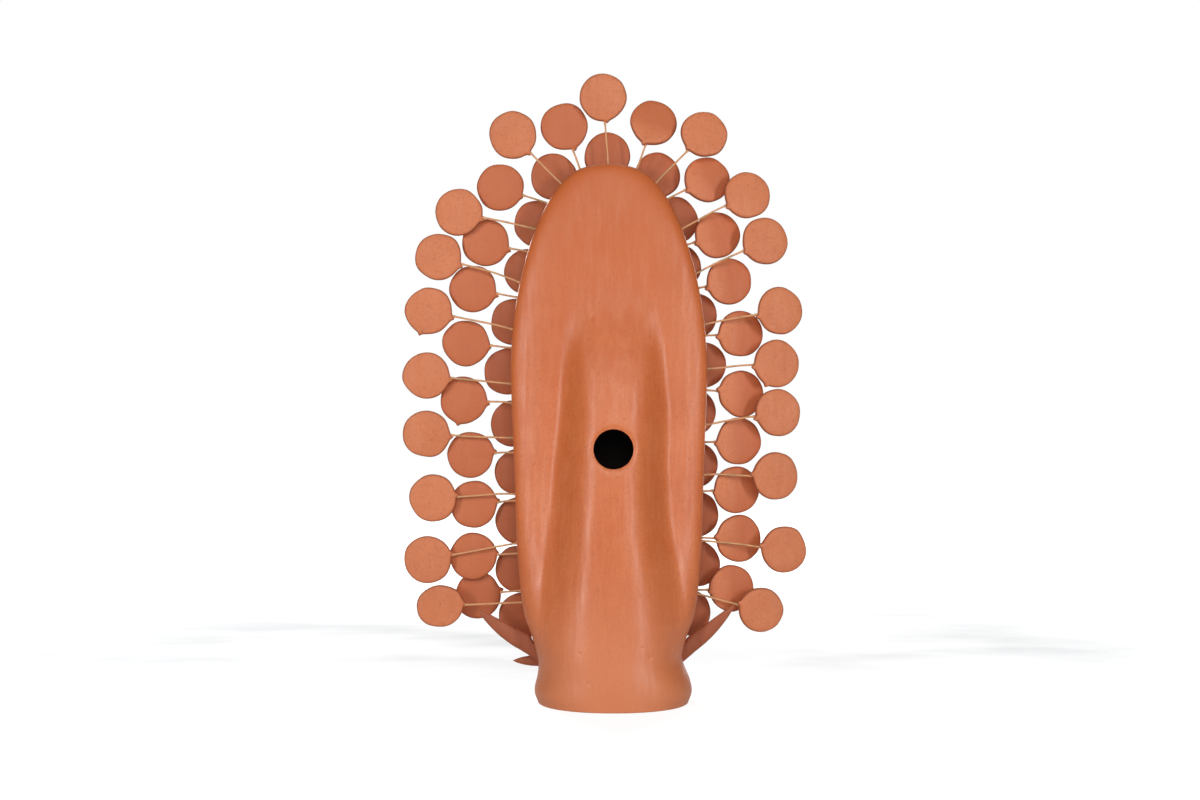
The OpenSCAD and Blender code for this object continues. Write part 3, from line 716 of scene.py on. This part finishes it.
def clay_disc(seat, seed, second_nub=None, squash=1.0):
    """A hand-pressed disc: uneven outline, soft rim, dented faces and a nub round the wire"""
    pick = random.Random(seed)
    turn = np.linspace(-math.pi, math.pi, DISC_SIDES, endpoint=False)
    radius = np.full(DISC_SIDES, seat.radius * 0.995)
    for waves, most in RIM_WAVES:
        radius += seat.radius * most * pick.uniform(0.3, 1) * np.cos(waves * turn + pick.uniform(0, 6.28))
    radius *= min(1, seat.radius * 1.012 / radius.max())
    # The nub round the wire, drawn out further on some discs than on others
    from_nub = np.abs(np.angle(np.exp(1j * (turn - math.pi))))
    reach = seat.nub + seat.radius - radius[0]
    reach *= pick.uniform(0.3, 0.75)
    radius += reach * (np.exp(-((from_nub / 0.075) ** 2)) * 0.75 + np.exp(-((from_nub / 0.2) ** 2)) * 0.25)
    if second_nub is not None:
        gap = np.abs(np.angle(np.exp(1j * (turn - second_nub))))
        radius += 1.9 * np.exp(-((gap / 0.07) ** 2)) + 0.7 * np.exp(-((gap / 0.22) ** 2))
    dish = pick.uniform(-0.3, 0.25)
    bevel = pick.uniform(13, 20)
    dome = pick.uniform(0.3, 0.8)
    rings = []
    rims = []
    for side in (1, -1):
        for s in RIM_STEPS if side == 1 else reversed(RIM_STEPS):
            d = s * radius
            height = seat.half * (1 - s**bevel) ** (1 / 2.3) - dome * s**3 * (1 - s**bevel)
            rims += [float(ramp(s, 0.94, 0.99))] * DISC_SIDES
            thin = 1 - 0.58 * ramp(d, seat.radius - 1.5, seat.radius + seat.nub * 0.75)
            height = height * thin + dish * (1 - min(1, s / 0.8) ** 2)
            rings.append(np.stack([d * np.cos(turn), d * np.sin(turn), side * height], 1))
        if side == 1:
            rings.append(np.stack([radius * np.cos(turn), radius * np.sin(turn), np.zeros(DISC_SIDES)], 1))
            rims += [1.0] * DISC_SIDES
    poles = np.array([[0, 0, seat.half + dish], [0, 0, -seat.half - dish]])
    local = np.concatenate(rings + [poles])
    lumps = grain(local, (9, 9, 14), seed * 1.37) * 0.28 + grain(local, (3.2, 3.2, 5), seed * 0.71) * 0.09
    by_rim = np.hypot(local[:, 0], local[:, 1]) > seat.radius * 0.9
    lumps += np.where(by_rim, grain(local, (4, 4, 3), seed) * 0.2, 0)
    local[:, 2] += lumps * np.sign(local[:, 2])
    local[:, 1] *= squash
    faces = [tuple(reversed(f)) for f in tube_faces(len(rings), DISC_SIDES)]
    return seat.place(local), faces, rims + [0.0, 0.0]


def disc_nodes(word):
    return sorted(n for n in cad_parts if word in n)


def disc_piece(node, made):
    """One piece from the discs that were made for a node, with their rims marked"""
    heap = Parts()
    marks = []
    for points, faces, rims in made:
        heap.add(points, faces)
        marks += rims
    piece = make_piece("clay_" + node, heap.all_points(), heap.faces, DISC_CLAY, (node,))
    piece.data.attributes.new("rim", "FLOAT", "POINT").data.foreach_set("value", marks)


# A second, smaller nub on a disc's rim, by its direction; and a disc that's been pressed oval
SECOND_NUBS = {"outer_disc_05": 1.52, "middle_disc_06": 1.5, "outer_disc_15": -2.2}
PRESSED = {"outer_disc_10": 0.9, "outer_disc_19": 0.93}
for count, node in enumerate(disc_nodes("_disc_")):
    seat = Seat(*solids(node)[0])
    disc_piece(node, [clay_disc(seat, 11 + count, SECOND_NUBS.get(node), PRESSED.get(node, 1.0))])
for node in disc_nodes("inner_discs"):
    disc_piece(node, [clay_disc(Seat(*solid), 101 + 40 * count) for count, solid in enumerate(solids(node))])


# ---- wires ----

WIRE_STEPS = 26


def bent_wire(points, seed):
    """A wire bent a little by hand, with clay slip gathered at both ends"""
    pick = random.Random(seed)
    middle = points.mean(0)
    way = np.linalg.svd(points - middle)[2][0]
    along = (points - middle) @ way
    start, end = middle + way * along.min(), middle + way * along.max()
    length = np.linalg.norm(end - start)
    radius = np.percentile(np.linalg.norm(points - middle - np.outer(along, way), axis=1), 90)
    t = np.linspace(0, 1, WIRE_STEPS)
    bow = length * pick.uniform(-0.012, 0.034)
    wave = length * pick.uniform(-0.008, 0.008)
    path = start + np.outer(t, end - start)
    path[:, 2] += bow * np.sin(math.pi * t) + wave * np.sin(2 * math.pi * t)
    path[:, 1] += length * pick.uniform(-0.008, 0.008) * np.sin(math.pi * t)
    radii = radius * (0.93 + 0.1 * grain(path, 4.0, seed))
    ends = np.minimum(t, 1 - t) * length
    radii += 0.45 * np.exp(-((ends - 3.5) / 1.6) ** 2)
    return tube(path, radii, 12)


for word in ("outer_wires", "middle_wires", "inner_wires"):
    bundle = Parts()
    for count, (points, _) in enumerate(solids(word)):
        bundle.add(*bent_wire(points, count + 3 * len(word)))
    make_piece("bent_" + word, bundle.all_points(), bundle.faces, WIRE, (word,))


# ---- pressed clay trim ----

def cushion(place, outline, height, sink=0.5, rings=9, bulge=2.4, relief=None):
    """A pressed pad over a rounded outline: place turns local points into the tree's frame"""
    outline = np.asarray(outline, float)
    sides = len(outline)
    middle = outline.mean(0)
    layers = []
    for s in np.sin(np.linspace(0.08, 1, rings) * math.pi / 2):
        flat = middle + (outline - middle) * s
        layers.append(np.column_stack([flat, np.full(sides, height * (1 - s**bulge) ** 0.5)]))
    layers.append(np.column_stack([outline, np.full(sides, -sink)]))
    local = np.concatenate(layers + [[[*middle, height]], [[*middle, -sink]]])
    if relief is not None:
        top = local[:, 2] > 0
        local[top, 2] += relief(local[top]) * np.minimum(1, local[top, 2] / (0.35 * height))
    return place(local), tube_faces(rings + 1, sides)


def turned(place, angle, dx=0.0, dy=0.0, dz=0.0):
    """A placing function whose local frame is moved and then turned inside the given one"""
    c, s = math.cos(angle), math.sin(angle)

    def moved(p):
        return place(np.stack([
            dx + c * p[:, 0] - s * p[:, 1], dy + s * p[:, 0] + c * p[:, 1], dz + p[:, 2]], 1))
    return moved


def round_outline(rx, ry, sides, wave=0.0, waves=5, phase=0.0):
    turn = circle(sides)
    r = 1 + wave * np.cos(waves * turn + phase)
    return np.stack([rx * r * np.cos(turn), ry * r * np.sin(turn)], 1)


def petal_outline(near, far, half):
    """A petal that is narrow at its root and full near its tip"""
    turn = circle(24)
    x = (near + far) / 2 + (far - near) / 2 * np.cos(turn)
    full = half * (0.72 + 0.28 * np.cos(turn))
    return np.stack([x, full * np.sin(turn)], 1)


PETALS = 8


def rosette(place, radius, height, seed, drop):
    """A modelled flower: petals pressed with a groove round a button pricked with a stick"""
    pick = random.Random(seed)
    parts = Parts()
    half = radius * math.sin(math.pi / PETALS) * 0.93
    for k in range(PETALS):
        wide = half * pick.uniform(0.92, 1.0)
        tip = radius * pick.uniform(0.95, 1.0)
        leaf = petal_outline(radius * 0.28, tip, wide)
        groove = lambda p, w=wide: -0.20 * height * np.exp(-((p[:, 1] / (0.22 * w)) ** 2))
        parts.add(*cushion(
            turned(place, 2 * math.pi * k / PETALS + pick.uniform(-0.04, 0.04)), leaf,
            height * drop * pick.uniform(0.92, 1.04), relief=groove))
    prick = lambda p: -0.05 * height * (1 + np.cos(p[:, 0] * 14 / radius) * np.cos(p[:, 1] * 14 / radius))
    button = round_outline(radius * 0.38, radius * 0.38, 28, 0.03)
    parts.add(*cushion(place, button, height, relief=prick, rings=12))
    return parts.all_points(), parts.faces


def trim_piece(node, parts, material=RELIEF_CLAY):
    make_piece("clay_" + node, parts.all_points(), parts.faces, material, (node,))


SEATS = [Seat(*solid) for node in disc_nodes("_disc") for solid in solids(node)]


def blossoms(node, seed):
    """The flower on the front of each disc of one ring"""
    bed = Parts()
    for count, (points, _) in enumerate(solids(node)):
        middle = box_middle(points)
        seat = min(SEATS, key=lambda s: np.linalg.norm(s.centre - middle))
        away = points - seat.centre
        depth = away @ seat.normal
        lift = -depth.min() - seat.half
        reach = np.linalg.norm(away - np.outer(depth, seat.normal), axis=1).max()

        def place(p, seat=seat):
            return seat.place(p * [1, -1, -1] - [0, 0, seat.half])
        bed.add(*rosette(place, reach, lift, seed + count, 0.72))
    trim_piece(node, bed)


for count, node in enumerate(("outer_blossoms", "middle_blossoms", "inner_blossoms")):
    blossoms(node, 300 + 50 * count)


# ---- relief on the front face ----

def on_face(x, z):
    """A placing function on the flat front face: local X across, local Y up, local Z forward"""
    return lambda p: np.stack([x + p[:, 0], FACE_Y - p[:, 2], z + p[:, 1]], 1)


def span(points):
    return points.min(0), points.max(0)


TRUNK_X = sum(v[0] for v in as_mm("trunk")) / 2


def relief_trunk():
    """A half-round trunk with twisting bark, tapering upwards and rounded at its top"""
    lo, hi = as_mm("trunk")
    rows, sides = 150, 72
    turn = circle(sides)
    rings = []
    wide = (hi[0] - lo[0]) / 2
    for t in np.linspace(0, 1, rows):
        z = lo[2] + (hi[2] - lo[2]) * t
        r = wide * (1 - 0.455 * t) * (1 - 21 * max(0, t - 0.985))
        ridges = 0.055 * np.sin(5 * turn + t * 9) + 0.03 * np.sin(11 * turn - t * 14 + np.sin(t * 20))
        ring = r * (0.97 + ridges * (0.6 + 0.4 * math.sin(t * 25)))
        y = np.minimum(FACE_Y + 0.8, FACE_Y - ring * np.sin(turn))
        rings.append(np.stack([TRUNK_X + ring * np.cos(turn), y, np.full(sides, z)], 1))
    points = np.concatenate(rings)
    points[:, 1] -= np.where(points[:, 1] < FACE_Y, 0.25 * grain(points, (3, 3, 7), 4.4), 0)
    points[:, 1] = np.maximum(points[:, 1], lo[1] - 0.4)
    faces = grid_faces(rows, sides) + [tuple(range(sides - 1, -1, -1)),
                                       tuple(range((rows - 1) * sides, rows * sides))]
    make_piece("clay_trunk", points, faces, RELIEF_CLAY, ("trunk",))


relief_trunk()


def relief_branches():
    """Arched boughs that end in a scroll, read off each solid's box"""
    parts = Parts()
    for count, (points, _) in enumerate(solids("branches")):
        lo, hi = span(points)
        r = FACE_Y - lo[1]
        side = 1 if (lo[0] + hi[0]) / 2 > TRUNK_X else -1
        arch = (hi[0] - lo[0]) / 2 - r
        x, z = (lo[0] + hi[0]) / 2, hi[2] - r - arch
        curl = (z - lo[2] - r) if z - lo[2] - r > 2 else arch * 0.4
        bow = [(arch * math.cos(a), arch * math.sin(a)) for a in np.linspace(math.pi, 0, 60)]
        curl_x = arch - curl
        scroll = [(curl_x + curl * math.cos(a), curl * math.sin(a)) for a in np.linspace(0, -3.49, 60)[1:]]
        path = np.array(bow + scroll)
        t = np.linspace(0, 1, len(path))
        line = np.stack([x + side * path[:, 0], np.full(len(path), FACE_Y), z + path[:, 1]], 1)
        radii = r * (0.99 - 0.22 * t) * (1 + 0.035 * np.sin(t * 70 + count))
        parts.add(*tube(line, radii, 28))
        tip = line[-1]
        parts.add(*cushion(on_face(tip[0], tip[2]), round_outline(r * 0.95, r * 0.95, 28), r * 0.98))
    trim_piece("branches", parts)


relief_branches()


def leaf_relief(length):
    """A midrib and slanting veins pressed into a leaf"""
    def pressed(p):
        rib = -0.7 * np.exp(-((p[:, 0] / 0.45) ** 2))
        slant = (p[:, 1] - 0.8 * np.abs(p[:, 0])) / (length * 0.16)
        return rib - 0.28 * np.maximum(0, np.cos(2 * math.pi * slant)) ** 6
    return pressed


def relief_leaves():
    parts = Parts()
    for count, (points, _) in enumerate(solids("canopy_leaves")):
        lo, hi = span(points)
        centre = (lo + hi) / 2
        flat = (points - centre)[:, [0, 2]]
        way = np.linalg.svd(flat - flat.mean(0))[2][0]
        way = way if way[1] > 0 else -way
        length = np.abs(flat @ way).max()
        half = np.abs(flat @ [way[1], -way[0]]).max()
        t = np.linspace(-1, 1, 24)
        edge = half * (1 - t * t) ** 0.75 * (1 + 0.05 * np.cos(t * 20 + count))
        outline = np.concatenate([
            np.stack([edge, length * t], 1), np.stack([-edge[-2:0:-1], length * t[-2:0:-1]], 1)])
        angle = math.atan2(-way[0], way[1])
        place = turned(on_face(centre[0], centre[2]), angle)
        parts.add(*cushion(place, outline, FACE_Y - lo[1], rings=14, relief=leaf_relief(length)))
    trim_piece("canopy_leaves", parts)


relief_leaves()


def relief_flowers():
    parts = Parts()
    for count, (points, _) in enumerate(solids("canopy_flowers")):
        lo, hi = span(points)
        place = on_face((lo[0] + hi[0]) / 2, (lo[2] + hi[2]) / 2)
        parts.add(*rosette(place, (hi[0] - lo[0]) / 2, FACE_Y - lo[1], 500 + count, 0.62))
    trim_piece("canopy_flowers", parts)


relief_flowers()


def relief_fruits():
    parts = Parts()
    for count, (points, _) in enumerate(solids("fruits")):
        lo, hi = span(points)
        r = (hi[0] - lo[0]) / 2
        dimple = lambda p, r=r: -0.45 * np.exp(-((np.hypot(p[:, 0], p[:, 1]) / (0.22 * r)) ** 2))
        place = on_face((lo[0] + hi[0]) / 2, (lo[2] + hi[2]) / 2)
        parts.add(*cushion(place, round_outline(r, r, 32, 0.012, 3, count), FACE_Y - lo[1],
                           rings=14, bulge=2.0, relief=dimple))
    trim_piece("fruits", parts)


relief_fruits()


def relief_serpent():
    """A serpent laid in waves, its scales pressed in rings, with a head and eyes"""
    lo, hi = as_mm("serpent")
    head_r = FACE_Y - lo[1]
    side = -1 if (lo[0] + hi[0]) / 2 < TRUNK_X else 1
    body_r = head_r / 1.5
    wave = (hi[2] - lo[2]) / 2 - body_r
    z = (hi[2] + lo[2]) / 2
    near = hi[0] if side < 0 else lo[0]
    start = near + side * head_r
    halves = []
    for i in range(4):
        x = start + side * wave * (2 * i + 1)
        up = 1 if i % 2 == 0 else -1
        for a in np.linspace(0, math.pi, 32)[(1 if i else 0):]:
            halves.append((x - side * wave * math.cos(a), z + up * wave * math.sin(a)))
    path = np.array(halves)
    t = np.linspace(0, 1, len(path))
    line = np.stack([path[:, 0], np.full(len(path), FACE_Y), path[:, 1]], 1)
    radii = body_r * (1 - 0.55 * ramp(t, 0.6, 1.0)) * (0.97 + 0.05 * np.cos(t * 260))
    parts = Parts()
    parts.add(*tube(line, radii, 24))
    head = on_face(start, z - 0.5 * body_r)
    parts.add(*cushion(head, round_outline(head_r * 0.95, head_r * 1.1, 32), head_r * 0.98, rings=14))
    for dx in (-1, 1):
        place = on_face(start + dx * head_r * 0.42, z - 0.8 * body_r)
        parts.add(*cushion(turned(place, 0, dz=head_r * 0.66), round_outline(0.75, 0.75, 16), 0.6, sink=0.6))
    trim_piece("serpent", parts)


relief_serpent()


def relief_bird(node):
    """A dove with a folded wing, a fanned tail, a beak and an eye"""
    lo, hi = as_mm(node)
    side = 1 if (lo[0] + hi[0]) / 2 > TRUNK_X else -1
    beak_x = lo[0] if side > 0 else hi[0]
    # The bird is drawn about a point this far behind its beak's tip and below its crown
    x, z, deep = beak_x + side * 12.5, hi[2] - 7.4, FACE_Y - lo[1]

    def place(p):
        return on_face(x, z)(p * [side, 1, 1])
    parts = Parts()
    fan = np.array([[6.5, 1.2], [9, 1.9], [13.4, 1.0], [13.9, -1.4], [13.2, -4.4], [9, -5.4], [6.2, -4.4]])
    smooth_fan = np.array([a + (b - a) * f for a, b in zip(fan, np.roll(fan, -1, 0))
                           for f in (0.0, 0.2, 0.4, 0.6, 0.8)])
    feathers = lambda p: -0.35 * np.maximum(0, np.cos(2.6 * (p[:, 1] + 1.8) / (0.4 + 0.05 * p[:, 0]))) ** 4
    parts.add(*cushion(place, smooth_fan, 2.2, rings=12, relief=feathers))
    turn = circle(40)
    breast = np.stack([1.8 + 7.2 * np.cos(turn), -0.6 + 4.4 * np.sin(turn) - 0.9 * np.cos(turn)], 1)
    parts.add(*cushion(place, breast, deep * 0.97, rings=16, bulge=2.1))
    neck = np.stack([-2.6 + 3.9 * np.cos(turn), 2.6 + 3.5 * np.sin(turn) + 0.5 * np.cos(turn)], 1)
    parts.add(*cushion(place, neck, deep * 0.8, rings=12, bulge=2.1))
    head = turned(place, 0, -4.2, 4.1)
    parts.add(*cushion(head, round_outline(3.2, 3.1, 32), deep * 0.68, rings=12, bulge=2.0))
    beak = [[-6.0, 5.3], [-7.6, 4.7], [-9.6, 4.1], [-11.6, 3.7], [-9.4, 3.3], [-7.4, 3.0], [-6.0, 2.9]]
    parts.add(*cushion(place, beak, 1.5, rings=7))
    wing = np.stack([3.4 + 5.4 * np.cos(turn), 0.5 + 2.7 * np.sin(turn) - 1.5 * np.cos(turn) ** 2], 1)
    barbs = lambda p: -0.3 * np.maximum(0, np.cos(2 * math.pi * (p[:, 1] + 0.35 * p[:, 0]) / 1.5)) ** 3
    parts.add(*cushion(turned(place, 0, dz=deep * 0.72), wing, deep * 0.26, sink=1.0, rings=16,
                       relief=barbs))
    parts.add(*cushion(turned(place, 0, -5.0, 4.7, deep * 0.55), round_outline(0.6, 0.6, 16), 0.55))
    trim_piece(node, parts)


for node in ("bird_left", "bird_right"):
    relief_bird(node)


# ---- free leaves at the foot ----

# How far a leaf's root is pushed into the wall, and where its section is first complete
ROOT_IN = 3.0
ROOT_FULL = 9.0
# The part of a leaf that counts as its root, and the height on the body where the roots are
ROOT_LONG = 9
ROOT_HEIGHT = 40


def foot_leaf(points, triangles, seed):
    """A horn-shaped leaf drawn again over its CAD solid, smoother and with a soft ridge"""
    corners = [Vector(c) for t in triangles for c in t]
    skin = BVHTree.FromPolygons(corners, [(3 * i, 3 * i + 1, 3 * i + 2) for i in range(len(triangles))])
    middle = BODY_X + smooth_lookup(ROOT_HEIGHT, BODY_SHIFT)
    side = 1 if points[:, 0].mean() > middle else -1
    sideways = points[:, 0] * side
    tip = points[sideways.argmax()]
    rooted = points[sideways < sideways.min() + ROOT_LONG]
    root = box_middle(rooted)
    way = unit((tip - root) * [1, 0, 1])
    over = np.array([-way[2], 0, way[0]])
    length = (tip - root) @ way
    rows, sides = 90, 56
    rings = []
    low = (points @ way).min() - root @ way
    for t in np.linspace(low - ROOT_IN, length - 0.02, rows):
        back = way * min(0, t - low - ROOT_FULL)
        cut = root + way * t - back
        slab = points[np.abs((points - cut) @ way) < max(3.5, length * 0.07)]
        heart = cut + over * ((slab - cut) @ over).mean() if len(slab) else cut
        heart[1] = tip[1]
        ring = []
        for a in circle(sides):
            ray = over * math.cos(a) + np.array([0, math.sin(a), 0])
            hit = skin.ray_cast(Vector(heart), Vector(ray))
            ring.append(heart + ray * (hit[3] if hit[0] is not None else 0.05) + back)
        rings.append(ring)
    sheet = np.array(rings)
    for _ in range(6):
        sheet[1:-1] = (sheet[:-2] + sheet[2:] + 2 * sheet[1:-1]) / 4
        sheet = (np.roll(sheet, 1, 1) + np.roll(sheet, -1, 1) + 2 * sheet) / 4
    ends = [sheet[0].mean(0), sheet[-1].mean(0)]
    flat = sheet.reshape(-1, 3)
    flat[:, 1] += 0.25 * grain(flat, 9, seed) + 0.1 * grain(flat, 4, seed)
    return np.concatenate([flat, ends]), tube_faces(rows, sides)


for node in ("base_leaves_long", "base_leaves_short"):
    pair = Parts()
    for count, (points, triangles) in enumerate(solids(node)):
        pair.add(*foot_leaf(points, triangles, 7.7 + count))
    trim_piece(node, pair, SHADED_LEAF_CLAY)


# ---- lights, camera and floor ----

def soft_light(name, place, aim, width, height, power):
    lamp = bpy.data.lights.new(name, "AREA")
    lamp.shape = "RECTANGLE"
    lamp.size, lamp.size_y = width, height
    lamp.energy = power
    made = put(name, lamp)
    made.location = place
    made.rotation_euler = (Vector(aim) - Vector(place)).to_track_quat("-Z", "Y").to_euler()


def white_floor():
    """A round white floor that runs out into the white room, with a faint grey shade behind the tree"""
    material, tree = node_tree("white_floor")
    place = add(tree, "ShaderNodeTexCoord").outputs["Object"]
    away = tree.nodes.new("ShaderNodeVectorMath")
    away.operation = "LENGTH"
    tree.links.new(place, away.inputs[0])
    glow = levels(tree, away.outputs["Value"], 0.1, 1.0, 0.82, 1.0)
    cloudy = noise_at(tree, stretch(tree, place, (1.0, 2.0, 1.0)), 3.0, 3)
    shade = maths(tree, "MULTIPLY", levels(tree, axes(tree, place)["Y"], -0.04, -0.24),
                  levels(tree, away.outputs["Value"], 1.05, 0.55))
    shade = maths(tree, "MULTIPLY", shade, levels(tree, cloudy, 0.42, 0.62, 0.14, 0.34))
    glow = maths(tree, "SUBTRACT", glow, shade)
    seen = tree.nodes.new("ShaderNodeLightPath").outputs["Is Camera Ray"]
    glow = maths(tree, "MULTIPLY", glow, levels(tree, seen, 0, 1, 0.3, 1.0))
    shader = add(tree, "ShaderNodeBsdfPrincipled", Base_Color=(0.3, 0.31, 0.32, 1), Roughness=0.9,
                 Emission_Color=(1, 1, 1, 1), Emission_Strength=glow)
    finished(material, tree, shader)
    radii = [0.4, 0.8, 1.4, 2.2, 3.2]
    sides = 64
    points = [(r * math.cos(a), r * math.sin(a), 0) for r in radii for a in circle(sides)] + [(0, 0, 0)]
    faces = grid_faces(len(radii), sides)
    faces += [(k, (k + 1) % sides, len(points) - 1) for k in range(sides)]
    mesh = bpy.data.meshes.new("floor")
    mesh.from_pydata(points, [], faces)
    mesh.materials.append(material)
    made = put("floor", mesh)


def white_room(fill):
    """A world that looks white and gives a little even light"""
    world = bpy.data.worlds.new("studio")
    bpy.context.scene.world = world
    world.use_nodes = True
    tree = world.node_tree
    seen = tree.nodes.new("ShaderNodeLightPath")
    strength = levels(tree, seen.outputs["Is Camera Ray"], 0, 1, fill, 1.0)
    background = tree.nodes["Background"]
    background.inputs["Color"].default_value = (1, 1, 1, 1)
    tree.links.new(strength, background.inputs["Strength"])


def camera():
    """Level, on the rear side, from as far and as high as the photo was taken"""
    lens = bpy.data.cameras.new("camera")
    lens.lens = 50
    lens.sensor_width = 36
    lens.dof.use_dof = False
    made = put("camera", lens)
    made.location = (0.0048, 1.321, 0.239)
    made.rotation_euler = (math.pi / 2, 0, math.pi)
    bpy.context.scene.camera = made


white_floor()
white_room(0.03)
camera()
MIDDLE = (0, 0, 0.22)
soft_light("left_softbox", (1.25, 1.55, 0.5), MIDDLE, 0.2, 0.7, 15)
soft_light("right_softbox", (-1.25, 1.55, 0.5), MIDDLE, 0.2, 0.7, 15)
soft_light("upper_front", (0, 1.8, 0.95), MIDDLE, 1.4, 0.8, 15.5)
soft_light("overhead", (0, -1.0, 2.1), (0, -0.4, 0), 1.8, 1.6, 14)
soft_light("far_side_key", (0.95, -1.7, 0.9), MIDDLE, 0.5, 0.8, 22)
soft_light("far_side_fill", (-0.8, -1.9, 0.5), MIDDLE, 0.6, 0.8, 10)
bpy.context.scene.view_settings.view_transform = "Standard"
